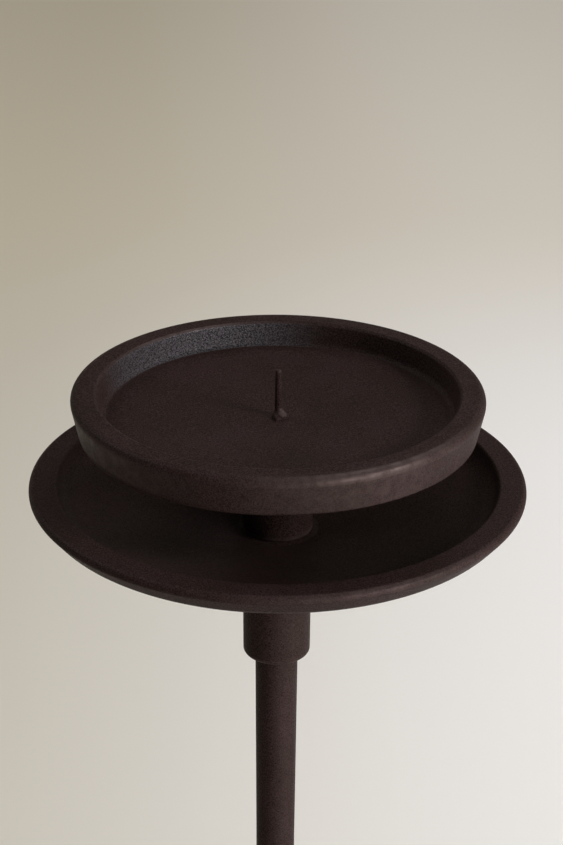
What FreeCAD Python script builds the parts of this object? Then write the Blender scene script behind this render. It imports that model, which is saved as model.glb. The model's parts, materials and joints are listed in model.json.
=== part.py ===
"""Tripod candlestick in cast iron, for one pillar candle.

From the top down: a pan with a pricket, a neck, a drip dish, a socket, a tapered stem, a hub and three legs
on felt pads. The pricket screws the pan to the neck. A tie stud holds neck, dish, socket and stem in line.
A bolt holds the stem in the hub, and a set screw holds each leg's tenon in the hub.

Millimetres, +Z up. The origin is on the floor, on the stem's axis.
"""

import FreeCAD
import Part
import Sketcher
import math
import os

# Driving dimensions: alias, value and what it measures. All are millimetres.
DIMENSIONS = [
    ("pan_diameter", 122.7, "candle pan, across the rim's corner before it is rounded"),
    ("pan_base_diameter", 117.6, "candle pan, outside at the underside"),
    ("pan_height", 11.9, "candle pan, underside to rim"),
    ("pan_depth", 8.9, "candle pan, rim to the land in the middle"),
    ("pan_wall_height", 7.4, "candle pan, rim to the edge of the floor"),
    ("pan_land_diameter", 24.0, "candle pan, flat land round the pricket"),
    ("pan_rim_width", 7.85, "candle pan, top of the rim from corner to mouth"),
    ("pan_wall_run", 1.6, "candle pan, how far the inner wall leans in"),
    ("pan_cove_radius", 2.0, "candle pan, inner wall to floor"),
    ("pan_rim_radius", 2.0, "candle pan, rounding of the rim's outer edge"),
    ("pan_edge_radius", 0.9, "candle pan, rounding of the mouth and the lower edge"),
    ("pricket_height", 14.8, "pricket, pan floor to tip"),
    ("pricket_diameter", 1.9, "pricket, straight spike"),
    ("pricket_tip_diameter", 1.4, "pricket, blunt end"),
    ("pricket_tip_length", 0.5, "pricket, tapered end"),
    ("pricket_flare_diameter", 5.4, "pricket, foot on the pan floor"),
    ("pricket_flare_height", 3.5, "pricket, foot from floor to spike"),
    ("pricket_flare_edge", 0.5, "pricket, upright edge of the foot"),
    ("pricket_flare_radius", 4.0, "pricket, blend of foot and spike"),
    ("pricket_shank_diameter", 3.0, "pricket, thread below the pan floor"),
    ("pricket_shank_length", 10.0, "pricket, thread below the pan floor"),
    ("neck_diameter", 21.2, "neck between pan and dish"),
    ("neck_length", 33.7, "neck, dish floor to pan underside"),
    ("neck_edge_radius", 0.6, "neck, rounding of both ends"),
    ("dish_diameter", 151.9, "drip dish, across the rim's corner before it is rounded"),
    ("dish_depth", 17.3, "drip dish, rim to the land in the middle"),
    ("dish_thickness", 5.0, "drip dish, at the land in the middle"),
    ("dish_rim_width", 9.75, "drip dish, top of the rim from corner to mouth"),
    ("dish_outer_wall_height", 7.6, "drip dish, rim to the corner of the underside"),
    ("dish_outer_wall_run", 6.25, "drip dish, how far the outer wall leans in"),
    ("dish_inner_wall_height", 3.9, "drip dish, rim to the corner of the floor"),
    ("dish_inner_wall_run", 1.9, "drip dish, how far the inner wall leans in"),
    ("dish_land_diameter", 25.0, "drip dish, flat lands for neck and socket"),
    ("dish_corner_radius", 6.0, "drip dish, outer wall to underside"),
    ("dish_cove_radius", 5.0, "drip dish, inner wall to floor"),
    ("dish_rim_radius", 1.6, "drip dish, rounding of the rim's outer edge"),
    ("dish_edge_radius", 0.9, "drip dish, rounding of the mouth"),
    ("socket_length", 38.0, "socket under the dish"),
    ("socket_top_diameter", 21.1, "socket, at the dish"),
    ("socket_bottom_diameter", 20.7, "socket, at the shoulder"),
    ("socket_shoulder_radius", 1.2, "socket, rounded lower end"),
    ("socket_bore_depth", 16.0, "socket, how far the stem goes in"),
    ("stud_diameter", 8.0, "tie stud"),
    ("stud_neck_engagement", 16.0, "tie stud, length inside the neck"),
    ("stud_stem_engagement", 14.0, "tie stud, length inside the stem"),
    ("stem_length", 212.0, "stem, bare length from hub to socket"),
    ("stem_top_diameter", 13.2, "stem, at the socket"),
    ("stem_bottom_diameter", 10.7, "stem, at the hub"),
    ("hub_clearance", 60.0, "hub, floor to underside"),
    ("hub_height", 40.0, "hub"),
    ("hub_diameter", 28.0, "hub"),
    ("hub_shoulder_radius", 5.0, "hub, rounded upper end"),
    ("hub_edge_radius", 2.0, "hub, rounding of the lower edge"),
    ("hub_bore_depth", 12.0, "hub, how far the stem goes in"),
    ("hub_leg_height", 18.0, "hub, underside to the legs' tenons"),
    ("hub_seat_inset", 1.2, "hub, depth of the flat seat for each leg"),
    ("hub_counterbore_diameter", 11.6, "hub, recess of the bolt's head"),
    ("hub_counterbore_depth", 8.0, "hub, recess of the bolt's head"),
    ("bolt_diameter", 6.0, "hub bolt"),
    ("bolt_stem_engagement", 12.0, "hub bolt, length inside the stem"),
    ("bolt_head_diameter", 10.0, "hub bolt"),
    ("bolt_head_height", 6.0, "hub bolt"),
    ("bolt_key_width", 5.0, "hub bolt, hexagon socket across the flats"),
    ("bolt_key_depth", 3.0, "hub bolt, hexagon socket"),
    ("washer_diameter", 11.0, "hub washer"),
    ("washer_thickness", 1.0, "hub washer"),
    ("leg_tenon_diameter", 8.0, "leg, tenon in the hub"),
    ("leg_tenon_length", 7.0, "leg, tenon in the hub"),
    ("leg_root_diameter", 11.0, "leg, at the hub"),
    ("leg_toe_diameter", 7.6, "leg, at the foot"),
    ("leg_root_straight", 6.0, "leg, straight run beside the hub"),
    ("leg_knee_radius", 48.0, "leg, bend below the hub"),
    ("leg_toe_radius", 16.0, "leg, bend above the foot"),
    ("foot_circle_radius", 112.0, "stem axis to the middle of each foot"),
    ("foot_diameter", 26.0, "leg, round foot"),
    ("foot_height", 9.0, "leg, round foot"),
    ("foot_dome_radius", 6.0, "leg, rounding of the foot's top"),
    ("pad_diameter", 20.0, "felt pad under each foot"),
    ("pad_thickness", 1.5, "felt pad under each foot"),
    ("set_screw_diameter", 4.0, "set screw of each leg"),
    ("set_screw_length", 10.0, "set screw of each leg"),
    ("set_screw_key_width", 2.0, "set screw, hexagon socket across the flats"),
    ("set_screw_key_depth", 2.5, "set screw, hexagon socket"),
    ("slip_clearance", 0.1, "round fits, play on the radius"),
    ("bolt_clearance", 0.2, "bolt holes, play on the radius"),
    ("end_clearance", 1.0, "blind holes, room past the end of what goes in"),
    ("thread_chamfer", 0.6, "ends of the tie stud and the hub bolt"),
]

# The legs in the order in which they stand round the hub, seen from above and against the clock.
LEG_PLACES = ("front", "right", "left")

# Heights of the stack above the floor, as formulas of the driving dimensions.
HUB_TOP = "(dims.hub_clearance + dims.hub_height)"
STEM_FOOT = f"({HUB_TOP} - dims.hub_bore_depth)"
SOCKET_FOOT = f"({HUB_TOP} + dims.stem_length)"
DISH_UNDERSIDE = f"({SOCKET_FOOT} + dims.socket_length)"
DISH_FLOOR = f"({DISH_UNDERSIDE} + dims.dish_thickness)"
PAN_UNDERSIDE = f"({DISH_FLOOR} + dims.neck_length)"
PAN_FLOOR = f"({PAN_UNDERSIDE} + dims.pan_height - dims.pan_depth)"
STUD_FOOT = f"({SOCKET_FOOT} + dims.socket_bore_depth - dims.stud_stem_engagement)"
WASHER_UNDERSIDE = "(dims.hub_clearance + dims.hub_counterbore_depth - dims.washer_thickness)"
LEG_AXIS = "(dims.hub_clearance + dims.hub_leg_height)"
LEG_SEAT = "(dims.hub_diameter / 2 - dims.hub_seat_inset)"
TOE_AXIS = "(dims.pad_thickness + dims.foot_height / 2)"
SET_SCREW_CIRCLE = f"({LEG_SEAT} - dims.leg_tenon_length / 2)"
SET_SCREW_TOP = f"({LEG_AXIS} - dims.leg_tenon_diameter / 2)"

# Two round edges are the same one when radius and height agree to this much.
EDGE_MATCH = 1e-4

doc = FreeCAD.newDocument("tripod_candlestick")


def make_sheet():
    """The sheet of driving dimensions: one number and one alias in each row."""
    sheet = doc.addObject("Spreadsheet::Sheet", "dims")
    for row, (alias, number, meaning) in enumerate(DIMENSIONS, 1):
        sheet.set(f"A{row}", meaning)
        sheet.set(f"B{row}", str(number))
        sheet.setAlias(f"B{row}", alias)
    doc.recompute()
    return sheet


dims = make_sheet()


def size(formula):
    """The number that a formula of the driving dimensions gives."""
    return float(dims.evalExpression(formula))


def make_body(label):
    """An empty body whose label names the piece."""
    body = doc.addObject("PartDesign::Body", label)
    body.Label = label
    return body


def lift(piece, height):
    """Places a piece at a height above the floor."""
    piece.setExpression("Placement.Base.z", height)
    return piece


def turn_to(piece, angle):
    """Turns a piece about its upright axis, so that its front faces the given angle."""
    piece.Placement.Rotation = FreeCAD.Rotation(FreeCAD.Vector(0, 0, 1), angle)
    return piece


def leg_angle(place):
    """Where a leg stands: the first one to the front, the others at equal steps round the hub."""
    return 360 * LEG_PLACES.index(place) / len(LEG_PLACES) - 90


def origin_feature(body, role):
    """One of the planes or axes of a body's own origin."""
    return next(f for f in body.Origin.OriginFeatures if f.Role == role)


def new_sketch(body, role, name, offset=None):
    """A sketch on one of the body's planes, moved along the plane's normal by a formula."""
    sketch = body.newObject("Sketcher::SketchObject", name)
    sketch.AttachmentSupport = [(origin_feature(body, role), "")]
    sketch.MapMode = "FlatFace"
    if offset:
        sketch.setExpression("AttachmentOffset.Base.z", offset)
    return sketch


def hold(sketch, kind, name, formula, *points):
    """Adds a dimension to a sketch and binds it to a formula."""
    index = sketch.addConstraint(Sketcher.Constraint(kind, *points, size(formula)))
    sketch.renameConstraint(index, name)
    sketch.setExpression(f"Constraints.{name}", formula)


def hold_point(sketch, name, geometry, point, across, up):
    """Fixes a point of a sketch at the formulas across and up. Zero puts it on the axis."""
    if across == "0":
        sketch.addConstraint(Sketcher.Constraint("PointOnObject", geometry, point, -2))
    else:
        hold(sketch, "DistanceX", f"{name}_across", across, -1, 1, geometry, point)
    if up == "0":
        sketch.addConstraint(Sketcher.Constraint("PointOnObject", geometry, point, -1))
    else:
        hold(sketch, "DistanceY", f"{name}_up", up, -1, 1, geometry, point)


def draw_outline(sketch, corners):
    """A closed outline of straight lines through corners, each a pair of formulas."""
    points = [FreeCAD.Vector(size(across), size(up), 0) for across, up in corners]
    count = len(corners)
    for index, point in enumerate(points):
        sketch.addGeometry(Part.LineSegment(point, points[(index + 1) % count]), False)
    for index in range(count):
        sketch.addConstraint(Sketcher.Constraint("Coincident", index, 2, (index + 1) % count, 1))
    for index, (across, up) in enumerate(corners):
        hold_point(sketch, f"corner_{index}", index, 1, across, up)


def draw_circle(sketch, across, up, diameter):
    """A circle whose centre and diameter are formulas."""
    centre = FreeCAD.Vector(size(across), size(up), 0)
    circle = sketch.addGeometry(Part.Circle(centre, FreeCAD.Vector(0, 0, 1), size(diameter) / 2), False)
    hold_point(sketch, "centre", circle, 3, across, up)
    hold(sketch, "Diameter", "diameter", diameter, circle)


def draw_hexagon(sketch, width):
    """A regular hexagon about the origin, given its width across the flats."""
    half_width = f"({width}) / 2"
    half_side = f"({width}) / 2 * tan(30 deg)"
    tip = f"({width}) / 2 / cos(30 deg)"
    corners = [
        (half_side, half_width),
        (f"-({half_side})", half_width),
        (f"-({tip})", "0"),
        (f"-({half_side})", f"-({half_width})"),
        (half_side, f"-({half_width})"),
        (tip, "0"),
    ]
    draw_outline(sketch, corners)


def finish_feature(body, feature):
    """Makes a feature the body's last one and builds it."""
    body.Tip = feature
    doc.recompute()
    return feature


def turn(body, corners):
    """Revolves an outline of (radius, height) formulas about the body's Z axis."""
    sketch = new_sketch(body, "XZ_Plane", f"{body.Label}_profile")
    draw_outline(sketch, corners)
    feature = body.newObject("PartDesign::Revolution", f"{body.Label}_turned")
    feature.Profile = sketch
    feature.ReferenceAxis = (sketch, ["V_Axis"])
    feature.Angle = 360
    return finish_feature(body, feature)


def pad(body, sketch, name, length, reverse=False):
    """Extrudes a sketch."""
    feature = body.newObject("PartDesign::Pad", name)
    feature.Profile = sketch
    feature.setExpression("Length", length)
    feature.Reversed = reverse
    return finish_feature(body, feature)


def pocket(body, sketch, name, length, reverse=False):
    """Cuts a sketch out of the body, against the sketch's normal unless reversed."""
    before = body.Shape.Volume
    feature = body.newObject("PartDesign::Pocket", name)
    feature.Profile = sketch
    feature.setExpression("Length", length)
    feature.Reversed = reverse
    finish_feature(body, feature)
    if feature.Shape.Volume >= before:
        raise RuntimeError(f"{name} cuts nothing")
    return feature


def pattern_round(body, name, originals):
    """Repeats features about the body's Z axis, once for each leg."""
    feature = body.newObject("PartDesign::PolarPattern", name)
    feature.Originals = originals
    feature.Axis = (origin_feature(body, "Z_Axis"), [""])
    feature.Angle = 360
    feature.Occurrences = len(LEG_PLACES)
    return finish_feature(body, feature)


def round_edges(body, name, radius, rings):
    """Rounds the circular edges that lie at the given (centre x, radius, height) formulas."""
    base = body.Tip
    wanted = [[size(part) for part in ring] for ring in rings]
    edges = []
    for number, edge in enumerate(base.Shape.Edges, 1):
        curve = edge.Curve
        if not isinstance(curve, Part.Circle):
            continue
        found = (curve.Center.x, curve.Radius, curve.Center.z)
        if any(max(abs(a - b) for a, b in zip(found, ring)) < EDGE_MATCH for ring in wanted):
            edges.append(f"Edge{number}")
    if len(edges) != len(rings):
        raise RuntimeError(f"{name} found {len(edges)} of {len(rings)} edges")
    feature = body.newObject("PartDesign::Fillet", name)
    feature.Base = (base, edges)
    feature.setExpression("Radius", radius)
    return finish_feature(body, feature)


def make_candle_pan():
    """Shallow pan that the candle stands in. Its floor falls a little to a land round the pricket."""
    body = lift(make_body("candle_pan"), PAN_UNDERSIDE)
    rim = "dims.pan_diameter / 2"
    base = "dims.pan_base_diameter / 2"
    mouth = "(dims.pan_diameter / 2 - dims.pan_rim_width)"
    floor = f"({mouth} - dims.pan_wall_run)"
    floor_height = "(dims.pan_height - dims.pan_wall_height)"
    land = "dims.pan_land_diameter / 2"
    land_height = "(dims.pan_height - dims.pan_depth)"
    hole = "dims.pricket_shank_diameter / 2 + dims.slip_clearance"
    outline = [
        (hole, "0"),
        (base, "0"),
        (rim, "dims.pan_height"),
        (mouth, "dims.pan_height"),
        (floor, floor_height),
        (land, land_height),
        (hole, land_height),
    ]
    turn(body, outline)
    round_edges(body, "candle_pan_cove", "dims.pan_cove_radius", [("0", floor, floor_height)])
    round_edges(body, "candle_pan_rim", "dims.pan_rim_radius", [("0", rim, "dims.pan_height")])
    edges = [("0", mouth, "dims.pan_height"), ("0", base, "0")]
    round_edges(body, "candle_pan_edges", "dims.pan_edge_radius", edges)
    return body


def make_pricket():
    """Spike with a flared foot on the pan's floor and a thread that screws into the neck."""
    body = lift(make_body("pricket"), f"{PAN_FLOOR} - dims.pricket_shank_length")
    shank = "dims.pricket_shank_diameter / 2"
    foot = "dims.pricket_flare_diameter / 2"
    spike = "dims.pricket_diameter / 2"
    tip = "dims.pricket_tip_diameter / 2"
    floor = "dims.pricket_shank_length"
    flare_top = f"({floor} + dims.pricket_flare_height)"
    outline = [
        ("0", "0"),
        (shank, "0"),
        (shank, floor),
        (foot, floor),
        (foot, f"{floor} + dims.pricket_flare_edge"),
        (spike, flare_top),
        (spike, f"{floor} + dims.pricket_height - dims.pricket_tip_length"),
        (tip, f"{floor} + dims.pricket_height"),
        ("0", f"{floor} + dims.pricket_height"),
    ]
    turn(body, outline)
    round_edges(body, "pricket_flare", "dims.pricket_flare_radius", [("0", spike, flare_top)])
    return body


def make_neck():
    """Short column between pan and dish, tapped for the pricket above and for the stud below."""
    body = lift(make_body("neck"), DISH_FLOOR)
    side = "dims.neck_diameter / 2"
    stud = "dims.stud_diameter / 2 + dims.slip_clearance"
    stud_top = "dims.stud_neck_engagement + dims.end_clearance"
    shank = "dims.pricket_shank_diameter / 2 + dims.slip_clearance"
    shank_foot = (
        "dims.neck_length + dims.pan_height - dims.pan_depth - dims.pricket_shank_length - dims.end_clearance"
    )
    outline = [
        (stud, "0"),
        (side, "0"),
        (side, "dims.neck_length"),
        (shank, "dims.neck_length"),
        (shank, shank_foot),
        ("0", shank_foot),
        ("0", stud_top),
        (stud, stud_top),
    ]
    turn(body, outline)
    edges = [("0", side, "0"), ("0", side, "dims.neck_length")]
    round_edges(body, "neck_edges", "dims.neck_edge_radius", edges)
    return body


def make_drip_dish():
    """Wide dish with a flat rim and a floor that falls to a land in the middle."""
    body = lift(make_body("drip_dish"), DISH_UNDERSIDE)
    rim_height = "(dims.dish_thickness + dims.dish_depth)"
    rim = "dims.dish_diameter / 2"
    corner = f"({rim} - dims.dish_outer_wall_run)"
    corner_height = f"({rim_height} - dims.dish_outer_wall_height)"
    mouth = f"({rim} - dims.dish_rim_width)"
    cove = f"({mouth} - dims.dish_inner_wall_run)"
    cove_height = f"({rim_height} - dims.dish_inner_wall_height)"
    land = "dims.dish_land_diameter / 2"
    hole = "dims.stud_diameter / 2 + dims.bolt_clearance"
    outline = [
        (hole, "0"),
        (land, "0"),
        (corner, corner_height),
        (rim, rim_height),
        (mouth, rim_height),
        (cove, cove_height),
        (land, "dims.dish_thickness"),
        (hole, "dims.dish_thickness"),
    ]
    turn(body, outline)
    round_edges(body, "drip_dish_corner", "dims.dish_corner_radius", [("0", corner, corner_height)])
    round_edges(body, "drip_dish_cove", "dims.dish_cove_radius", [("0", cove, cove_height)])
    round_edges(body, "drip_dish_rim", "dims.dish_rim_radius", [("0", rim, rim_height)])
    round_edges(body, "drip_dish_mouth", "dims.dish_edge_radius", [("0", mouth, rim_height)])
    return body


def make_stem_socket():
    """Round socket under the dish, tapped for the stud, with a bore that the stem's top goes into."""
    body = lift(make_body("stem_socket"), SOCKET_FOOT)
    foot = "dims.socket_bottom_diameter / 2"
    head = "dims.socket_top_diameter / 2"
    bore = "dims.stem_top_diameter / 2 + dims.slip_clearance"
    stud = "dims.stud_diameter / 2 + dims.slip_clearance"
    outline = [
        (bore, "0"),
        (foot, "0"),
        (head, "dims.socket_length"),
        (stud, "dims.socket_length"),
        (stud, "dims.socket_bore_depth"),
        (bore, "dims.socket_bore_depth"),
    ]
    turn(body, outline)
    round_edges(body, "stem_socket_shoulder", "dims.socket_shoulder_radius", [("0", foot, "0")])
    return body


def make_tie_stud():
    """Threaded stud that ties neck, dish, socket and stem together."""
    body = lift(make_body("tie_stud"), STUD_FOOT)
    side = "dims.stud_diameter / 2"
    nose = f"{side} - dims.thread_chamfer"
    length = f"({DISH_FLOOR} + dims.stud_neck_engagement - {STUD_FOOT})"
    outline = [
        ("0", "0"),
        (nose, "0"),
        (side, "dims.thread_chamfer"),
        (side, f"{length} - dims.thread_chamfer"),
        (nose, length),
        ("0", length),
    ]
    turn(body, outline)
    return body


def make_stem():
    """Tapered round stem with a plain plug at each end, tapped for the stud above and the bolt below."""
    body = lift(make_body("stem"), STEM_FOOT)
    head = "dims.stem_top_diameter / 2"
    foot = "dims.stem_bottom_diameter / 2"
    hub_mouth = "dims.hub_bore_depth"
    socket_mouth = "(dims.hub_bore_depth + dims.stem_length)"
    top = f"({socket_mouth} + dims.socket_bore_depth)"
    stud = "dims.stud_diameter / 2 + dims.slip_clearance"
    stud_foot = f"{top} - dims.stud_stem_engagement - dims.end_clearance"
    bolt = "dims.bolt_diameter / 2 + dims.slip_clearance"
    bolt_top = "dims.bolt_stem_engagement + dims.end_clearance"
    outline = [
        (bolt, "0"),
        (foot, "0"),
        (foot, hub_mouth),
        (head, socket_mouth),
        (head, top),
        (stud, top),
        (stud, stud_foot),
        ("0", stud_foot),
        ("0", bolt_top),
        (bolt, bolt_top),
    ]
    turn(body, outline)
    return body


def make_hub():
    """Round hub with a bore for the stem, a recess for the bolt and a flat seat and hole for each leg."""
    body = turn_to(lift(make_body("hub"), "dims.hub_clearance"), leg_angle("front"))
    side = "dims.hub_diameter / 2"
    bore = "dims.stem_bottom_diameter / 2 + dims.slip_clearance"
    bore_floor = "(dims.hub_height - dims.hub_bore_depth)"
    bolt = "dims.bolt_diameter / 2 + dims.bolt_clearance"
    recess = "dims.hub_counterbore_diameter / 2"
    outline = [
        (recess, "0"),
        (side, "0"),
        (side, "dims.hub_height"),
        (bore, "dims.hub_height"),
        (bore, bore_floor),
        (bolt, bore_floor),
        (bolt, "dims.hub_counterbore_depth"),
        (recess, "dims.hub_counterbore_depth"),
    ]
    turn(body, outline)
    round_edges(body, "hub_shoulder", "dims.hub_shoulder_radius", [("0", side, "dims.hub_height")])
    round_edges(body, "hub_edge", "dims.hub_edge_radius", [("0", side, "0")])

    seat = new_sketch(body, "YZ_Plane", "hub_seat_outline", LEG_SEAT)
    draw_circle(seat, "0", "dims.hub_leg_height", "dims.leg_root_diameter + 2 * dims.bolt_clearance")
    seat_cut = pocket(body, seat, "hub_seat", "dims.hub_diameter / 2", reverse=True)

    mortise = new_sketch(body, "YZ_Plane", "hub_mortise_outline", LEG_SEAT)
    draw_circle(mortise, "0", "dims.hub_leg_height", "dims.leg_tenon_diameter + 2 * dims.slip_clearance")
    mortise_cut = pocket(body, mortise, "hub_mortise", "dims.leg_tenon_length + dims.slip_clearance")

    screw = new_sketch(body, "XY_Plane", "hub_screw_outline")
    draw_circle(screw, SET_SCREW_CIRCLE, "0", "dims.set_screw_diameter + 2 * dims.slip_clearance")
    screw_cut = pocket(body, screw, "hub_screw_hole", "dims.hub_leg_height", reverse=True)

    pattern_round(body, "hub_leg_places", [seat_cut, mortise_cut, screw_cut])
    return body


def make_hub_washer():
    """Flat washer under the bolt's head."""
    body = lift(make_body("hub_washer"), WASHER_UNDERSIDE)
    hole = "dims.bolt_diameter / 2 + dims.bolt_clearance"
    side = "dims.washer_diameter / 2"
    thickness = "dims.washer_thickness"
    turn(body, [(hole, "0"), (side, "0"), (side, thickness), (hole, thickness)])
    return body


def make_hub_bolt():
    """Cap screw that pulls the stem down into the hub, with a hexagon socket in its head."""
    head_foot = f"({WASHER_UNDERSIDE} - dims.bolt_head_height)"
    body = lift(make_body("hub_bolt"), head_foot)
    head = "dims.bolt_head_diameter / 2"
    shank = "dims.bolt_diameter / 2"
    top = f"({STEM_FOOT} + dims.bolt_stem_engagement - {head_foot})"
    outline = [
        ("0", "0"),
        (head, "0"),
        (head, "dims.bolt_head_height"),
        (shank, "dims.bolt_head_height"),
        (shank, f"{top} - dims.thread_chamfer"),
        (f"{shank} - dims.thread_chamfer", top),
        ("0", top),
    ]
    turn(body, outline)
    key = new_sketch(body, "XY_Plane", "hub_bolt_key_outline")
    draw_hexagon(key, "dims.bolt_key_width")
    pocket(body, key, "hub_bolt_key", "dims.bolt_key_depth", reverse=True)
    return body


def draw_leg_path(sketch):
    """The leg's centre line: level from the hub, round the knee, straight out and down, level at the foot."""
    knee_radius = size("dims.leg_knee_radius")
    toe_radius = size("dims.leg_toe_radius")
    start = FreeCAD.Vector(size(LEG_SEAT), size(LEG_AXIS), 0)
    knee_start = start + FreeCAD.Vector(size("dims.leg_root_straight"), 0, 0)
    end = FreeCAD.Vector(size("dims.foot_circle_radius"), size(TOE_AXIS), 0)
    knee_centre = knee_start - FreeCAD.Vector(0, knee_radius, 0)
    toe_centre = end + FreeCAD.Vector(0, toe_radius, 0)

    # The straight run is the inner tangent of the two bends. Its lean is measured from level.
    between = toe_centre - knee_centre
    lean = math.asin((knee_radius + toe_radius) / between.Length) - math.atan2(between.y, between.x)
    across = FreeCAD.Vector(math.sin(lean), math.cos(lean), 0)
    knee_end = knee_centre + across * knee_radius
    toe_start = toe_centre - across * toe_radius

    upright = FreeCAD.Vector(0, 0, 1)
    knee_circle = Part.Circle(knee_centre, upright, knee_radius)
    toe_circle = Part.Circle(toe_centre, upright, toe_radius)
    root = sketch.addGeometry(Part.LineSegment(start, knee_start), False)
    knee = sketch.addGeometry(Part.ArcOfCircle(knee_circle, math.pi / 2 - lean, math.pi / 2), False)
    shin = sketch.addGeometry(Part.LineSegment(knee_end, toe_start), False)
    toe = sketch.addGeometry(Part.ArcOfCircle(toe_circle, 1.5 * math.pi - lean, 1.5 * math.pi), False)

    sketch.addConstraint(Sketcher.Constraint("Tangent", root, 2, knee, 2))
    sketch.addConstraint(Sketcher.Constraint("Tangent", knee, 1, shin, 1))
    sketch.addConstraint(Sketcher.Constraint("Tangent", shin, 2, toe, 1))
    sketch.addConstraint(Sketcher.Constraint("Horizontal", root))
    sketch.addConstraint(Sketcher.Constraint("Vertical", toe, 3, toe, 2))
    hold_point(sketch, "root", root, 1, LEG_SEAT, LEG_AXIS)
    hold_point(sketch, "toe", toe, 2, "dims.foot_circle_radius", TOE_AXIS)
    hold(sketch, "Distance", "root_straight", "dims.leg_root_straight", root)
    hold(sketch, "Radius", "knee_radius", "dims.leg_knee_radius", knee)
    hold(sketch, "Radius", "toe_radius", "dims.leg_toe_radius", toe)


def make_leg(place):
    """One leg: a round foot, a tapered rod swept from the hub to the foot, and a tenon for the hub."""
    label = f"leg_{place}"
    body = turn_to(make_body(label), leg_angle(place))

    foot = new_sketch(body, "XY_Plane", f"{label}_foot_outline", "dims.pad_thickness")
    draw_circle(foot, "dims.foot_circle_radius", "0", "dims.foot_diameter")
    pad(body, foot, f"{label}_foot", "dims.foot_height")
    foot_top = ("dims.foot_circle_radius", "dims.foot_diameter / 2", "dims.pad_thickness + dims.foot_height")
    round_edges(body, f"{label}_foot_dome", "dims.foot_dome_radius", [foot_top])

    path = new_sketch(body, "XZ_Plane", f"{label}_path")
    draw_leg_path(path)
    root = new_sketch(body, "YZ_Plane", f"{label}_root_section", LEG_SEAT)
    draw_circle(root, "0", LEG_AXIS, "dims.leg_root_diameter")
    toe = new_sketch(body, "YZ_Plane", f"{label}_toe_section", "dims.foot_circle_radius")
    draw_circle(toe, "0", TOE_AXIS, "dims.leg_toe_diameter")
    doc.recompute()
    rod = body.newObject("PartDesign::AdditivePipe", f"{label}_rod")
    rod.Profile = root
    rod.Spine = path
    rod.Sections = [toe]
    rod.Transformation = "Multisection"
    finish_feature(body, rod)

    tenon = new_sketch(body, "YZ_Plane", f"{label}_tenon_outline", LEG_SEAT)
    draw_circle(tenon, "0", LEG_AXIS, "dims.leg_tenon_diameter")
    pad(body, tenon, f"{label}_tenon", "dims.leg_tenon_length", reverse=True)
    return body


def make_foot_pad(place):
    """Felt disc under one foot."""
    angle = leg_angle(place)
    disc = doc.addObject("Part::Cylinder", f"foot_pad_{place}")
    disc.Label = f"foot_pad_{place}"
    disc.setExpression("Radius", "dims.pad_diameter / 2")
    disc.setExpression("Height", "dims.pad_thickness")
    disc.setExpression("Placement.Base.x", f"dims.foot_circle_radius * cos({angle} deg)")
    disc.setExpression("Placement.Base.y", f"dims.foot_circle_radius * sin({angle} deg)")
    return disc


def make_set_screw(place):
    """Set screw that presses on one leg's tenon from below, with a hexagon socket in its lower end."""
    angle = leg_angle(place)
    body = lift(make_body(f"set_screw_{place}"), f"{SET_SCREW_TOP} - dims.set_screw_length")
    body.setExpression("Placement.Base.x", f"{SET_SCREW_CIRCLE} * cos({angle} deg)")
    body.setExpression("Placement.Base.y", f"{SET_SCREW_CIRCLE} * sin({angle} deg)")
    side = "dims.set_screw_diameter / 2"
    turn(body, [("0", "0"), (side, "0"), (side, "dims.set_screw_length"), ("0", "dims.set_screw_length")])
    key = new_sketch(body, "XY_Plane", f"set_screw_{place}_key_outline")
    draw_hexagon(key, "dims.set_screw_key_width")
    pocket(body, key, f"set_screw_{place}_key", "dims.set_screw_key_depth", reverse=True)
    return body


def make_set_screws():
    """The three set screws, one node of separate solids."""
    group = doc.addObject("Part::Compound", "leg_set_screws")
    group.Label = "leg_set_screws"
    group.Links = [make_set_screw(place) for place in LEG_PLACES]
    return group


def build():
    """Builds every piece and returns them in the order of the stack."""
    pieces = [
        make_candle_pan(),
        make_pricket(),
        make_neck(),
        make_drip_dish(),
        make_stem_socket(),
        make_tie_stud(),
        make_stem(),
        make_hub(),
        make_hub_washer(),
        make_hub_bolt(),
        make_set_screws(),
    ]
    for place in LEG_PLACES:
        pieces.append(make_leg(place))
        pieces.append(make_foot_pad(place))
    doc.recompute()
    return pieces


def check(pieces):
    """Stops if any object failed to build or any piece is empty or not valid."""
    for item in doc.Objects:
        if "Invalid" in item.State or "Error" in item.State:
            raise RuntimeError(f"{item.Label} failed to build")
    for piece in pieces:
        if piece.Shape.isNull() or not piece.Shape.isValid() or not piece.Shape.Solids:
            raise RuntimeError(f"{piece.Label} is not a valid solid")


def write(pieces):
    """Writes each piece to its own file, named by its label."""
    os.makedirs("parts", exist_ok=True)
    for piece in pieces:
        piece.Shape.exportStep(f"parts/{piece.Label}.step")


all_pieces = build()
check(all_pieces)
write(all_pieces)
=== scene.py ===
"""Looks of the tripod candlestick: coated cast iron, plated screws and felt pads, on a pale studio floor.

Metres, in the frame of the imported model: +Z up along the stem, -Y to the front, the origin on the floor.
"""

import bmesh
import bpy
import json
import math
from collections import namedtuple
from mathutils import Matrix, Vector, noise


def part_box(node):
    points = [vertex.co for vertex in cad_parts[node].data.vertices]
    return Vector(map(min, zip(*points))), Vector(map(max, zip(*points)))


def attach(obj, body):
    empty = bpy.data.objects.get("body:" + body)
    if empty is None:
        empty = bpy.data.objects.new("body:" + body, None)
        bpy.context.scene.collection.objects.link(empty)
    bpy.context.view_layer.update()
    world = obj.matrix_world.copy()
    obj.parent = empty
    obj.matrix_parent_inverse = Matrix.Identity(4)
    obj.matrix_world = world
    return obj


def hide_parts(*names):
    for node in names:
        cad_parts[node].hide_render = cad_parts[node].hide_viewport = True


MM = 0.001
AXIS = Vector((0, 0, 0))

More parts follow.
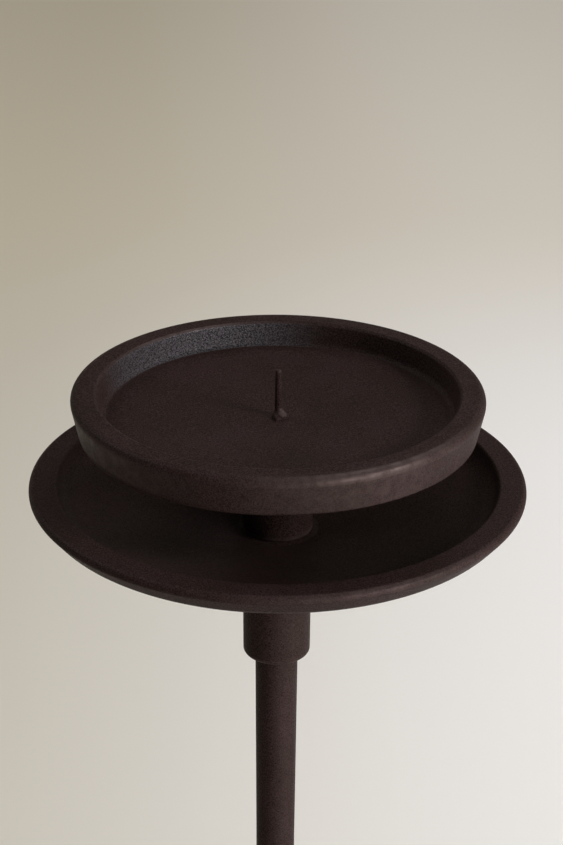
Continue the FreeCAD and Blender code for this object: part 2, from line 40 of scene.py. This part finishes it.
# The photograph's camera, fitted to the ellipses of pan and dish.
IMAGE_HEIGHT = 845
FOCAL_PIXELS = 1958.6
SENSOR = 36.0
CAMERA_BACK = 526.8 * MM
CAMERA_ABOVE_RIM = 229.65 * MM
CAMERA_ASIDE = 1.0 * MM
CAMERA_LOOKS_DOWN = 24.55
CAMERA_ROLL = 0.44

# Directions are an azimuth from +X towards +Y and an elevation, in degrees.
# A softbox: azimuth, elevation, width, height, power in watts and spread of the beam in degrees.
SOFTBOX_DISTANCE = 2.0
SOFTBOXES = {
    "key_right": (-24.0, 5.0, 0.9, 0.8, 2.2, 110.0),
    "key_front": (-50.0, 5.0, 0.9, 0.8, 4.95, 110.0),
    "key_high": (-29.0, 27.5, 0.45, 0.35, 14.8, 180.0),
    "side_high": (25.0, 25.0, 0.9, 0.8, 1.2, 180.0),
    "back_right": (60.0, 48.0, 0.9, 0.9, 4.5, 180.0),
    "back_left": (150.0, 42.0, 1.0, 0.9, 8.3, 180.0),
    "top": (90.0, 80.0, 1.2, 1.2, 3.4, 180.0),
    "left_low": (195.0, -2.9, 1.2, 0.1, 0.25, 80.0),
    "back_low": (90.0, -2.9, 0.7, 0.1, 2.2, 36.0),
}
# This lamp shows the object's back, without a glint along the edges that the camera sees.
LAMP_WITHOUT_GLINT = "back_low"
LAMP_COLOUR = (1.0, 1.0, 1.0)
AMBIENT_COLOUR = (1.0, 0.97, 0.93)
AMBIENT_STRENGTH = 0.002

# Parts of a noise's range from 0 to 1, which are stretched to a full range.
NARROW = (0.35, 0.65)
MIDDLE = (0.30, 0.70)
WIDE = (0.25, 0.75)
UPPER = (0.45, 0.75)

# The iron's coating: grain and specks, on shallow waves and a mottled brown.
GRAIN_SIZE = 0.7 * MM
GRAIN_DEPTH = 0.04 * MM
SPECK_SIZE = 0.4 * MM
SPECK_SHADES = (0.4, 1.6)
WAVE_SIZE = 11.0 * MM
WAVE_DEPTH = 0.12 * MM
MOTTLE_SIZE = 24.0 * MM
COATING_DARK = (0.0380, 0.0230, 0.0197)
COATING_LIGHT = (0.0455, 0.0264, 0.0250)
COATING_ROUGHNESS = (0.46, 0.60)
COATING_SPECULAR = 0.05

# Where the coating is thinned by use, and where a highlight or sheen is painted, it is lighter, smoother and a
# little metallic, in patches.
WEAR_AND_HIGHLIGHT_COLOUR = (0.115, 0.083, 0.077)
WEAR_AND_HIGHLIGHT_PATCH_SIZE = 3.5 * MM
WEAR_AND_HIGHLIGHT_PATCHES = (0.5, 1.0)
WEAR_AND_HIGHLIGHT_SMOOTHER = 0.16
WEAR_AND_HIGHLIGHT_METALLIC = 0.3
# The share of a ring's reach that has its full strength, and how closely a ring's painted highlight or sheen
# keeps to one side.
RING_CORE = 0.6
SIDE_SHARPNESS = 8.0
# A ring of thinned coating, or of painted highlight, sheen or glint, along a level circle: its radius and
# height, how far it reaches, how strong it is, the azimuth that has most of it, or None for all round, and a
# point on the circle's axis.
Ring = namedtuple("Ring", "radius height reach strength side centre", defaults=(None, AXIS))

# The sand-cast grain that shows on the pan's inner wall, and the painted grey sheen on it.
SAND_SIZE = 0.46 * MM
SAND_DEPTH = 0.20 * MM
SAND_SHEEN_COLOUR = (0.076, 0.069, 0.0755)
SAND_SHADES = (0.35, 1.65)
SAND_COVER = 0.9
SAND_SMOOTHER = 0.10
SAND_METALLIC = 0.15
SAND_SOFT_EDGE = 0.6 * MM

# The azimuth of the painted highlight along the edges of pan and dish, and of the painted sheen on the sides of
# pan, socket and stem.
HIGHLIGHT_SIDE = -64.0
# The azimuth of a paler painted sheen on the pan's side.
PALE_SHEEN_SIDE = -145.0
# The azimuth of the painted grey sheen on the pan's inner wall and of the painted glint along its mouth, and
# the cosines off it from no sheen to the full sheen.
GREY_SHEEN_SIDE = 122.0
GREY_SHEEN_COSINES = (0.62, 0.97)
# The pan's flat rim, from its outermost edge to its mouth.
PAN_RIM_WIDTH = 7.5 * MM
# The round foot of each leg.
FOOT_RADIUS = 13.0 * MM

# Zinc plating with fine turning marks.
PLATED_DARK = (0.50, 0.50, 0.49)
PLATED_LIGHT = (0.60, 0.60, 0.58)
PLATED_CLOUD_SIZE = 3.0 * MM
PLATED_MARK_SIZE = 0.4 * MM
PLATED_MARK_DEPTH = 0.01 * MM
PLATED_ROUGHNESS = (0.28, 0.42)

# Pressed felt: fibres and paler tufts.
FELT_DARK = (0.020, 0.018, 0.017)
FELT_LIGHT = (0.045, 0.042, 0.040)
FELT_TUFT = (0.060, 0.056, 0.053)
FIBRE_SIZE = 0.5 * MM
FIBRE_DEPTH = 0.12 * MM
TUFT_SIZE = 2.5 * MM
TUFT_COVER = (0.0, 0.35)
FELT_ROUGHNESS = 0.95
FELT_SHEEN = 0.35
FELT_SHEEN_ROUGHNESS = 0.6
# A felt pad's mesh: shares of the radius with a ring on each flat side, and how far its edge frays.
PAD_SECTORS = 96
PAD_EDGE_STEPS = 6
PAD_FLAT_SHARES = (0.2, 0.5, 0.8)
PAD_FRAY = 0.25 * MM
PAD_FRAY_SIZE = 1.2 * MM

# The pricket above the pan's floor: a slightly tapered spike in a lumpy bead of braze.
PRICKET_HEIGHT = 14.8 * MM
PRICKET_SHANK_RADIUS = 1.5 * MM
PRICKET_FOOT_RADIUS = 1.05 * MM
PRICKET_TIP_RADIUS = 0.88 * MM
PRICKET_TIP_ROUNDING = 0.35 * MM
PRICKET_SECTORS = 64
TIP_STEPS = 5
SPIKE_STEPS = 24
BEAD_STEPS = 16
BEAD_HEIGHT = 3.1 * MM
# How far the bead reaches from the axis to the right, back, left and front, and how it swells on the way down.
BEAD_REACH = (3.0 * MM, 2.0 * MM, 1.3 * MM, 3.6 * MM)
BEAD_SWELL = 2.2
# The size of the lumps, and their depth on the spike and, in addition, at the foot of the bead.
LUMP_SIZE = 1.1 * MM
SPIKE_LUMPS = 0.05 * MM
BEAD_LUMPS = 0.6 * MM
# A painted highlight on the bead: a lighter, smoother spot to the right and to the front.
HIGHLIGHT_SPOT = Vector((1.3 * MM, -1.2 * MM, 0))
HIGHLIGHT_SPOT_HEIGHT = 1.6 * MM

# The studio floor's colours, which paint light falling off from the front right towards the back left, and
# where they change to the right and to the back.
FLOOR_NEAR_LEFT = (0.413, 0.381, 0.32)
FLOOR_NEAR_RIGHT = (0.675, 0.655, 0.64)
FLOOR_FAR_LEFT = (0.415, 0.368, 0.285)
FLOOR_FAR_RIGHT = (0.56, 0.515, 0.449)
FLOOR_LEFT_TO_RIGHT = (-0.3, 0.3)
FLOOR_NEAR_TO_FAR = (0.75, 1.4)
FLOOR_GLOW = 0.7
COVE_MIDDLE_RADIUS = 0.5
COVE_FLOOR_RADIUS = 3.5
COVE_BEND_RADIUS = 2.0
COVE_HEIGHT = 2.8
COVE_SECTORS = 96
COVE_BEND_STEPS = 12

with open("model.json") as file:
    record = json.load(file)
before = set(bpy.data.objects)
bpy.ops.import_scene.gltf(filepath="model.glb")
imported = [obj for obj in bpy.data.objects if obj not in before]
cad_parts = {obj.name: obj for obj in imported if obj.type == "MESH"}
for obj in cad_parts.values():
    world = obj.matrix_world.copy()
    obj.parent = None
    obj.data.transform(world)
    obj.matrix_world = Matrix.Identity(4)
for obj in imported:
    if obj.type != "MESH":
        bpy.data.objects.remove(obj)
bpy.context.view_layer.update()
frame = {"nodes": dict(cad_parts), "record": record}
nodes = frame["nodes"]
scene = bpy.context.scene
scene.view_settings.view_transform = "Standard"


def direction(azimuth, elevation):
    """The unit vector towards an azimuth and an elevation."""
    turn = math.radians(azimuth)
    rise = math.radians(elevation)
    return Vector((math.cos(rise) * math.cos(turn), math.cos(rise) * math.sin(turn), math.sin(rise)))


def turns(sectors):
    """Angles from +X, in equal steps all round."""
    return [2 * math.pi * sector / sectors for sector in range(sectors)]


def outward(turn):
    """The level unit vector at an angle from +X."""
    return Vector((math.cos(turn), math.sin(turn), 0))


def link(obj):
    """Puts an object in the scene."""
    scene.collection.objects.link(obj)
    return obj


class Paint:
    """A material under construction, with short calls for its nodes."""

    def __init__(self, name):
        self.material = bpy.data.materials.new(name)
        self.material.use_nodes = True
        self.tree = self.material.node_tree
        self.tree.nodes.clear()

    def add(self, kind, **inputs):
        """A node whose inputs are sockets to link or constants. Underscores in names stand for spaces."""
        node = self.tree.nodes.new(kind)
        for name, value in inputs.items():
            self.feed(node.inputs[name.replace("_", " ")], value)
        return node

    def feed(self, socket, value):
        """Links a socket to an input, or sets the input's own constant."""
        if isinstance(value, bpy.types.NodeSocket):
            self.tree.links.new(value, socket)
        elif isinstance(value, tuple) and len(value) == 3 and socket.type == "RGBA":
            socket.default_value = (*value, 1.0)
        else:
            socket.default_value = value

    def place(self):
        """Coordinates in metres that stay with the object."""
        return self.add("ShaderNodeTexCoord").outputs["Object"]

    def noise(self, size, detail=3.0, roughness=0.55):
        """Noise whose lumps are about the given size, from 0 to 1."""
        node = self.add("ShaderNodeTexNoise", Scale=1 / size, Detail=detail, Roughness=roughness)
        self.feed(node.inputs["Vector"], self.place())
        return node.outputs["Fac"]

    def remap(self, value, source, target=(0.0, 1.0)):
        """A value stretched from one range to another, with soft ends."""
        node = self.add("ShaderNodeMapRange", Value=value)
        node.interpolation_type = "SMOOTHSTEP"
        node.inputs["From Min"].default_value = source[0]
        node.inputs["From Max"].default_value = source[1]
        node.inputs["To Min"].default_value = target[0]
        node.inputs["To Max"].default_value = target[1]
        return node.outputs["Result"]

    def math(self, operation, first, second):
        """Arithmetic on two values."""
        node = self.tree.nodes.new("ShaderNodeMath")
        node.operation = operation
        self.feed(node.inputs[0], first)
        self.feed(node.inputs[1], second)
        return node.outputs["Value"]

    def vector_math(self, operation, first, second=None):
        """The node for arithmetic on a vector, or on a vector and a constant one."""
        node = self.tree.nodes.new("ShaderNodeVectorMath")
        node.operation = operation
        self.feed(node.inputs[0], first)
        if second is not None:
            node.inputs[1].default_value = second
        return node

    def mix(self, factor, first, second, blend="MIX"):
        """Two colours mixed."""
        node = self.tree.nodes.new("ShaderNodeMix")
        node.data_type = "RGBA"
        node.blend_type = blend
        self.feed(node.inputs["Factor"], factor)
        self.feed(node.inputs["A"], first)
        self.feed(node.inputs["B"], second)
        return node.outputs["Result"]

    def shade(self, colour, brightness):
        """A colour made darker below a brightness of 1, and lighter above it."""
        grey = self.add("ShaderNodeCombineColor", Red=brightness, Green=brightness, Blue=brightness)
        return self.mix(1.0, colour, grey.outputs["Color"], "MULTIPLY")

    def reach_and_height(self, centre):
        """Distance from an upright axis through a point, and height."""
        moved = self.vector_math("SUBTRACT", self.place(), (centre.x, centre.y, 0.0))
        parts = self.add("ShaderNodeSeparateXYZ", Vector=moved.outputs["Vector"])
        squares = [self.math("POWER", parts.outputs[axis], 2.0) for axis in ("X", "Y")]
        return self.math("SQRT", self.math("ADD", *squares), 0.0), parts.outputs["Z"]

    def near_ring(self, ring):
        """A ring's strength near its circle, falling to 0 at the end of its reach."""
        reach, level = self.reach_and_height(ring.centre)
        aside = self.math("POWER", self.math("SUBTRACT", reach, ring.radius), 2.0)
        above = self.math("POWER", self.math("SUBTRACT", level, ring.height), 2.0)
        distance = self.math("SQRT", self.math("ADD", aside, above), 0.0)
        return self.remap(distance, (RING_CORE * ring.reach, ring.reach), (ring.strength, 0.0))

    def facing(self, azimuth):
        """Cosine of the angle between an azimuth and the way out from the upright axis."""
        flat = self.vector_math("MULTIPLY", self.place(), (1.0, 1.0, 0.0))
        out = self.vector_math("NORMALIZE", flat.outputs["Vector"])
        along = self.vector_math("DOT_PRODUCT", out.outputs["Vector"], direction(azimuth, 0.0))
        return along.outputs["Value"]

    def wear_and_highlight(self, rings):
        """How thinned or lit a place is, from 0 to 1: patches of thinned coating or painted highlight along the
        rings.
        """
        worn_or_lit = 0.0
        for ring in rings:
            rubbed_or_lit = self.near_ring(ring)
            if ring.side is not None:
                side = self.math("MAXIMUM", self.facing(ring.side), 0.0)
                rubbed_or_lit = self.math("MULTIPLY", rubbed_or_lit, self.math("POWER", side, SIDE_SHARPNESS))
            worn_or_lit = self.math("MAXIMUM", worn_or_lit, rubbed_or_lit)
        patches = self.noise(WEAR_AND_HIGHLIGHT_PATCH_SIZE, detail=4.0, roughness=0.65)
        return self.math("MULTIPLY", worn_or_lit, self.remap(patches, NARROW, WEAR_AND_HIGHLIGHT_PATCHES))

    def band(self, radii, heights, soft):
        """1 between two radii and two heights about the upright axis, and 0 elsewhere, with soft edges."""
        inside = 1.0
        for value, (low, high) in zip(self.reach_and_height(AXIS), (radii, heights)):
            inside = self.math("MULTIPLY", inside, self.remap(value, (low - soft, low)))
            inside = self.math("MULTIPLY", inside, self.remap(value, (high, high + soft), (1.0, 0.0)))
        return inside

    def bump(self, height, depth, normal=None):
        """A normal roughened by a height from 0 to 1, of the given depth."""
        node = self.add("ShaderNodeBump", Strength=1.0, Distance=depth, Height=height)
        if normal:
            self.feed(node.inputs["Normal"], normal)
        return node.outputs["Normal"]

    def finish(self, shader):
        """Makes a shader the material's surface."""
        output = self.tree.nodes.new("ShaderNodeOutputMaterial")
        self.tree.links.new(shader, output.inputs["Surface"])
        return self.material


def make_iron(name, wear_and_highlight_rings=(), cast_wall=None):
    """Cast iron under a thin, fine-grained, semi-matt brown coating.

    The coating is lighter, smoother and a little metallic along the rings: thinned by use, or a painted
    highlight or sheen. The cast wall is a band, given as (inner, outer) radius and (lower, upper) height, where
    the sand-cast grain shows, painted grey and glossier on one side as a painted sheen.
    """
    paint = Paint(name)
    grain = paint.noise(GRAIN_SIZE, detail=2.0)
    speck = paint.noise(SPECK_SIZE, detail=1.0)
    wave = paint.noise(WAVE_SIZE, detail=2.0)
    mottle = paint.noise(MOTTLE_SIZE, detail=4.0, roughness=0.6)

    colour = paint.mix(paint.remap(mottle, NARROW), COATING_DARK, COATING_LIGHT)
    colour = paint.shade(colour, paint.remap(speck, WIDE, SPECK_SHADES))
    roughness = paint.remap(grain, MIDDLE, COATING_ROUGHNESS)
    metallic = 0.0
    normal = paint.bump(wave, WAVE_DEPTH)
    normal = paint.bump(grain, GRAIN_DEPTH, normal)

    if wear_and_highlight_rings:
        # Lighter along the rings: thinned coating, or a painted highlight or sheen.
        wear_and_highlight = paint.wear_and_highlight(wear_and_highlight_rings)
        colour = paint.mix(wear_and_highlight, colour, WEAR_AND_HIGHLIGHT_COLOUR)
        roughness = paint.math("SUBTRACT", roughness, paint.math("MULTIPLY", wear_and_highlight, WEAR_AND_HIGHLIGHT_SMOOTHER))
        metallic = paint.math("MULTIPLY", wear_and_highlight, WEAR_AND_HIGHLIGHT_METALLIC)
    if cast_wall:
        band = paint.band(*cast_wall, SAND_SOFT_EDGE)
        # A painted grey sheen: the wall's sand grain lighter and glossier on the side that faces the key lamps;
        # the bump goes all round the band.
        painted_sheen = paint.math("MULTIPLY", band, paint.remap(paint.facing(GREY_SHEEN_SIDE), GREY_SHEEN_COSINES))
        sand = paint.noise(SAND_SIZE, detail=1.0)
        sheen_grains = paint.shade(SAND_SHEEN_COLOUR, paint.remap(sand, MIDDLE, SAND_SHADES))
        colour = paint.mix(paint.math("MULTIPLY", painted_sheen, SAND_COVER), colour, sheen_grains)
        roughness = paint.math("SUBTRACT", roughness, paint.math("MULTIPLY", painted_sheen, SAND_SMOOTHER))
        metallic = paint.math("MAXIMUM", metallic, paint.math("MULTIPLY", painted_sheen, SAND_METALLIC))
        normal = paint.bump(paint.math("MULTIPLY", sand, band), SAND_DEPTH, normal)

    shader = paint.add("ShaderNodeBsdfPrincipled", Base_Color=colour, Roughness=roughness, Normal=normal)
    paint.feed(shader.inputs["Metallic"], metallic)
    shader.inputs["Specular IOR Level"].default_value = COATING_SPECULAR
    return paint.finish(shader.outputs["BSDF"])


def make_plated_steel():
    """Zinc-plated steel with fine turning marks."""
    paint = Paint("plated_steel")
    marks = paint.noise(PLATED_MARK_SIZE, detail=3.0)
    cloud = paint.noise(PLATED_CLOUD_SIZE, detail=3.0)
    colour = paint.mix(paint.remap(cloud, MIDDLE), PLATED_DARK, PLATED_LIGHT)
    roughness = paint.remap(marks, WIDE, PLATED_ROUGHNESS)
    normal = paint.bump(marks, PLATED_MARK_DEPTH)
    shader = paint.add("ShaderNodeBsdfPrincipled", Base_Color=colour, Roughness=roughness, Normal=normal)
    shader.inputs["Metallic"].default_value = 1.0
    return paint.finish(shader.outputs["BSDF"])


def make_felt():
    """Dark pressed felt."""
    paint = Paint("felt")
    fibre = paint.noise(FIBRE_SIZE, detail=5.0, roughness=0.7)
    tuft = paint.noise(TUFT_SIZE, detail=3.0)
    colour = paint.mix(paint.remap(fibre, MIDDLE), FELT_DARK, FELT_LIGHT)
    colour = paint.mix(paint.remap(tuft, UPPER, TUFT_COVER), colour, FELT_TUFT)
    normal = paint.bump(fibre, FIBRE_DEPTH)
    shader = paint.add("ShaderNodeBsdfPrincipled", Base_Color=colour, Normal=normal)
    shader.inputs["Roughness"].default_value = FELT_ROUGHNESS
    shader.inputs["Sheen Weight"].default_value = FELT_SHEEN
    shader.inputs["Sheen Roughness"].default_value = FELT_SHEEN_ROUGHNESS
    return paint.finish(shader.outputs["BSDF"])


def make_paper():
    """Pale studio floor with painted light: warmer and darker to the back and left, nearly white to the front
    and right.

    It glows for rays from the camera, in reflections and through glass, and takes shadows for all rays.
    """
    paint = Paint("studio_floor")
    place = paint.add("ShaderNodeSeparateXYZ", Vector=paint.place())
    aside = paint.remap(place.outputs["X"], FLOOR_LEFT_TO_RIGHT)
    away = paint.remap(place.outputs["Y"], FLOOR_NEAR_TO_FAR)
    near = paint.mix(aside, FLOOR_NEAR_LEFT, FLOOR_NEAR_RIGHT)
    far = paint.mix(aside, FLOOR_FAR_LEFT, FLOOR_FAR_RIGHT)
    colour = paint.mix(away, near, far)

    lit = paint.add("ShaderNodeBsdfDiffuse", Color=colour)
    seen = paint.add("ShaderNodeEmission", Color=colour, Strength=FLOOR_GLOW)
    both = paint.tree.nodes.new("ShaderNodeAddShader")
    paint.feed(both.inputs[0], lit.outputs["BSDF"])
    paint.feed(both.inputs[1], seen.outputs["Emission"])
    rays = paint.add("ShaderNodeLightPath")
    direct = paint.math("MAXIMUM", rays.outputs["Is Camera Ray"], rays.outputs["Is Glossy Ray"])
    direct = paint.math("MAXIMUM", direct, rays.outputs["Is Transmission Ray"])
    chosen = paint.tree.nodes.new("ShaderNodeMixShader")
    paint.feed(chosen.inputs["Fac"], direct)
    paint.feed(chosen.inputs[1], lit.outputs["BSDF"])
    paint.feed(chosen.inputs[2], both.outputs["Shader"])
    return paint.finish(chosen.outputs["Shader"])


def pan_highlights_and_wall(low, high):
    """The pan's rings of painted highlight, sheen and glint, and the band of its inner wall that shows the cast
    grain, painted with a grey sheen on one side.
    """
    outside = (high.x - low.x) / 2
    mouth = outside - PAN_RIM_WIDTH
    side = outside - 1.2 * MM
    side_height = high.z - 6.0 * MM
    rings = [
        # A painted highlight along the rim's outer edge, to the front right.
        Ring(outside - 0.5 * MM, high.z - 0.9 * MM, reach=2.4 * MM, strength=1.0, side=HIGHLIGHT_SIDE),
        # A painted sheen down the side, to the front right.
        Ring(side, side_height, reach=7.0 * MM, strength=0.55, side=HIGHLIGHT_SIDE),
        # A paler painted sheen down the side, to the front left.
        Ring(side, side_height, reach=5.5 * MM, strength=0.6, side=PALE_SHEEN_SIDE),
        # A painted glint along the mouth's edge, at the back left.
        Ring(mouth, high.z - 0.4 * MM, reach=0.8 * MM, strength=1.0, side=GREY_SHEEN_SIDE),
    ]
    # The inner wall's band of cast grain, painted with a grey sheen at the back left.
    wall = ((mouth - 2.2 * MM, mouth + 0.1 * MM), (low.z + 4.2 * MM, high.z - 0.9 * MM))
    return rings, wall


def node_iron(node_name):
    """Iron for one node, thinned where hands and edges rub, with a painted highlight or sheen on the side
    towards the key lamps.
    """
    low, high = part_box(node_name)
    outside = (high.x - low.x) / 2
    middle = (low.z + high.z) / 2
    rings = []
    wall = None
    if node_name == "candle_pan":
        rings, wall = pan_highlights_and_wall(low, high)
    elif node_name == "drip_dish":
        edge = outside - 0.1 * MM
        # A painted highlight along the dish's edge, to the front right.
        rings = [Ring(edge, high.z - 0.8 * MM, reach=1.8 * MM, strength=0.6, side=HIGHLIGHT_SIDE)]
    elif node_name in ("neck", "stem_socket", "hub"):
        rings = [Ring(outside, end.z, reach=2.0 * MM, strength=0.3) for end in (low, high)]
    elif node_name.startswith("leg_"):
        pad_low, pad_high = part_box(node_name.replace("leg", "foot_pad"))
        pad_centre = (pad_low + pad_high) / 2
        rings = [Ring(FOOT_RADIUS, pad_high.z, reach=2.0 * MM, strength=0.5, centre=pad_centre)]
    if node_name == "stem_socket":
        # A painted sheen down the socket, to the front right.
        rings.append(Ring(outside, middle, reach=40.0 * MM, strength=0.2, side=HIGHLIGHT_SIDE))
    if node_name == "stem":
        # A painted sheen down the stem, to the front right.
        rings.append(Ring(outside, middle, reach=300.0 * MM, strength=0.22, side=HIGHLIGHT_SIDE))
    return make_iron(f"{node_name}_iron", rings, wall)


def dress_nodes():
    """Gives every CAD node the material of its slot."""
    looks = {"plated_steel": make_plated_steel(), "felt": make_felt()}
    for part in frame["record"]["subparts"]:
        mesh = nodes[part["node"]].data
        mesh.materials.clear()
        slot = part["material_slot"]
        mesh.materials.append(node_iron(part["node"]) if slot == "iron" else looks[slot])
    return looks


def lathe(name, rings):
    """A closed smooth mesh through rings of points, from the top down, with a flat cap at each end."""
    shape = bmesh.new()
    loops = [[shape.verts.new(point) for point in ring] for ring in rings]
    for upper, lower in zip(loops, loops[1:]):
        for sector in range(len(upper)):
            after = (sector + 1) % len(upper)
            shape.faces.new((upper[sector], lower[sector], lower[after], upper[after]))
    shape.faces.new(loops[0])
    shape.faces.new(list(reversed(loops[-1])))
    bmesh.ops.recalc_face_normals(shape, faces=shape.faces)
    mesh = bpy.data.meshes.new(name)
    shape.to_mesh(mesh)
    shape.free()
    mesh.shade_smooth()
    return link(bpy.data.objects.new(name, mesh))


def bead_reach(turn):
    """How far the bead reaches at an angle, eased from each of its four sides to the next."""
    quarter = turn / (math.pi / 2)
    side = int(quarter) % 4
    share = quarter - int(quarter)
    eased = share * share * (3 - 2 * share)
    return BEAD_REACH[side] * (1 - eased) + BEAD_REACH[(side + 1) % 4] * eased


def lumpy_ring(height, radii, lumps):
    """One ring of points about the axis, each moved in or out by a little noise."""
    points = []
    for turn, radius in zip(turns(PRICKET_SECTORS), radii):
        point = radius * outward(turn) + Vector((0, 0, height))
        points.append(point + lumps * noise.noise(point / LUMP_SIZE) * outward(turn))
    return points


def round_ring(height, radius, lumps=0.0):
    """A ring of points with the same radius all round, apart from its lumps."""
    return lumpy_ring(height, [radius] * PRICKET_SECTORS, lumps)


def make_pricket():
    """The spike with its bead of braze, in place of the CAD pricket, and its shank in the pan's hole."""
    low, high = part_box("pricket")
    floor = high.z - PRICKET_HEIGHT
    spike_top = high.z - PRICKET_TIP_ROUNDING
    bead_top = floor + BEAD_HEIGHT

    rings = []
    for step in range(1, TIP_STEPS + 1):
        bend = math.pi / 2 * step / TIP_STEPS
        radius = PRICKET_TIP_RADIUS - PRICKET_TIP_ROUNDING * (1 - math.sin(bend))
        rings.append(round_ring(high.z - PRICKET_TIP_ROUNDING * (1 - math.cos(bend)), radius))
    for step in range(1, SPIKE_STEPS):
        share = step / SPIKE_STEPS
        radius = PRICKET_TIP_RADIUS + (PRICKET_FOOT_RADIUS - PRICKET_TIP_RADIUS) * share
        rings.append(round_ring(spike_top + (bead_top - spike_top) * share, radius, SPIKE_LUMPS))
    widths = [bead_reach(turn) - PRICKET_FOOT_RADIUS for turn in turns(PRICKET_SECTORS)]
    for step in range(BEAD_STEPS + 1):
        share = step / BEAD_STEPS
        swell = math.sin(math.pi / 2 * share) ** BEAD_SWELL
        radii = [PRICKET_FOOT_RADIUS + width * swell for width in widths]
        rings.append(lumpy_ring(bead_top - BEAD_HEIGHT * share, radii, SPIKE_LUMPS + BEAD_LUMPS * share))
    rings.append(round_ring(floor, PRICKET_SHANK_RADIUS))
    rings.append(round_ring(low.z, PRICKET_SHANK_RADIUS))

    spike = lathe("pricket_spike", rings)
    tip = Ring(0.0, high.z, reach=1.5 * MM, strength=0.25)
    # A painted highlight: the bead lighter and smoother in a spot to the right and front.
    painted_highlight = Ring(0.0, floor + HIGHLIGHT_SPOT_HEIGHT, reach=1.7 * MM, strength=1.0, centre=HIGHLIGHT_SPOT)
    spike.data.materials.append(make_iron("pricket_spike_iron", [tip, painted_highlight]))
    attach(spike, "root")
    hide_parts("pricket")


def make_felt_pad(node_name, felt):
    """A felt disc in place of a CAD pad: pressed flat above and below, with a soft, uneven edge."""
    low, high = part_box(node_name)
    centre = (low + high) / 2
    radius = (high.x - low.x) / 2
    rounding = (high.z - low.z) / 2
    profile = [(radius * share, rounding) for share in PAD_FLAT_SHARES]
    for step in range(PAD_EDGE_STEPS + 1):
        bend = math.pi * (0.5 - step / PAD_EDGE_STEPS)
        profile.append((radius - rounding + rounding * math.cos(bend), rounding * math.sin(bend)))
    profile += [(radius * share, -rounding) for share in reversed(PAD_FLAT_SHARES)]

    rings = []
    for reach, height in profile:
        ring = []
        for turn in turns(PAD_SECTORS):
            point = centre + reach * outward(turn) + Vector((0, 0, height))
            fray = PAD_FRAY * (reach / radius) ** 4 * abs(noise.noise(point / PAD_FRAY_SIZE))
            ring.append(point - fray * outward(turn))
        rings.append(ring)
    pad = lathe(f"{node_name}_felt", rings)
    pad.data.materials.append(felt)
    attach(pad, "root")
    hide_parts(node_name)


def make_cove(paper):
    """Round studio floor that bends up into a wall."""
    profile = [(COVE_MIDDLE_RADIUS, 0.0), (COVE_FLOOR_RADIUS, 0.0)]
    for step in range(1, COVE_BEND_STEPS + 1):
        bend = math.pi / 2 * step / COVE_BEND_STEPS
        reach = COVE_FLOOR_RADIUS + COVE_BEND_RADIUS * math.sin(bend)
        profile.append((reach, COVE_BEND_RADIUS * (1 - math.cos(bend))))
    profile.append((COVE_FLOOR_RADIUS + COVE_BEND_RADIUS, COVE_HEIGHT))
    points = []
    for reach, height in profile:
        for turn in turns(COVE_SECTORS):
            points.append((reach * math.cos(turn), reach * math.sin(turn), height))
    faces = [tuple(range(COVE_SECTORS))]
    for ring in range(len(profile) - 1):
        inner = ring * COVE_SECTORS
        outer = inner + COVE_SECTORS
        for sector in range(COVE_SECTORS):
            after = (sector + 1) % COVE_SECTORS
            faces.append((inner + sector, outer + sector, outer + after, inner + after))
    mesh = bpy.data.meshes.new("studio_cove")
    mesh.from_pydata(points, [], faces)
    mesh.shade_smooth()
    mesh.materials.append(paper)
    cove = link(bpy.data.objects.new("studio_cove", mesh))


def make_softbox(name, target):
    """A rectangular soft light from the table, facing the target."""
    azimuth, elevation, width, height, power, spread = SOFTBOXES[name]
    lamp = bpy.data.lights.new(name, "AREA")
    lamp.shape = "RECTANGLE"
    lamp.size = width
    lamp.size_y = height
    lamp.energy = power
    lamp.spread = math.radians(spread)
    lamp.color = LAMP_COLOUR
    box = link(bpy.data.objects.new(name, lamp))
    away = direction(azimuth, elevation)
    turned = away.to_track_quat("Z", "Y").to_matrix().to_4x4()
    box.matrix_world = Matrix.Translation(target + SOFTBOX_DISTANCE * away) @ turned
    box.visible_camera = False
    box.visible_glossy = name != LAMP_WITHOUT_GLINT


def make_world():
    """Weak even light from all round."""
    world = bpy.data.worlds.new("studio")
    world.use_nodes = True
    background = world.node_tree.nodes["Background"]
    background.inputs["Color"].default_value = (*AMBIENT_COLOUR, 1.0)
    background.inputs["Strength"].default_value = AMBIENT_STRENGTH
    scene.world = world


def make_camera():
    """The photograph's viewpoint, placed from the height of the pan's rim."""
    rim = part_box("candle_pan")[1].z
    data = bpy.data.cameras.new("camera")
    data.sensor_width = SENSOR
    data.lens = SENSOR * FOCAL_PIXELS / IMAGE_HEIGHT
    camera = link(bpy.data.objects.new("camera", data))
    place = Matrix.Translation((CAMERA_ASIDE, -CAMERA_BACK, rim + CAMERA_ABOVE_RIM))
    tilt = Matrix.Rotation(math.radians(90 - CAMERA_LOOKS_DOWN), 4, "X")
    roll = Matrix.Rotation(math.radians(CAMERA_ROLL), 4, "Z")
    camera.matrix_world = place @ tilt @ roll
    scene.camera = camera


looks = dress_nodes()
for pad_place in ("front", "right", "left"):
    make_felt_pad(f"foot_pad_{pad_place}", looks["felt"])
make_pricket()
make_cove(make_paper())
light_target = Vector((0, 0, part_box("candle_pan")[1].z))
for softbox in SOFTBOXES:
    make_softbox(softbox, light_target)
make_world()
make_camera()
